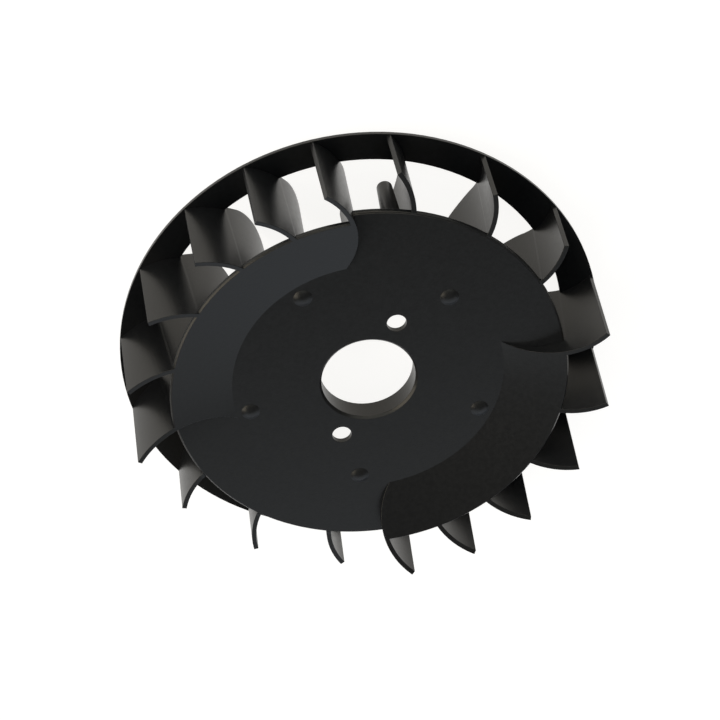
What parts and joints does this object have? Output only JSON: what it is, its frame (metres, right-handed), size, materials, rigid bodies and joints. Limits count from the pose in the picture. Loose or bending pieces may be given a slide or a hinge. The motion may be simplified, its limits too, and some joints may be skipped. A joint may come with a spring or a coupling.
{
  "type": "engine flywheel fan",
  "caption": "Black moulded radial cooling fan for an engine flywheel: curved blades between a stepped disc and a sloping shroud ring.",
  "frame": {"origin": "on the fan's axis, in the plane of the blades' far edges, on which it stands face up", "axes": "+Z along the axis from the shroud ring towards the face that seats on the flywheel, +X through a bolt hole"},
  "size_m": [0.21, 0.21, 0.0524],
  "materials": {
    "black_plastic": "satin black, as moulded"
  },
  "bodies": {
    "root": {"fan_wheel": "black_plastic"}
  },
  "joints": []
}
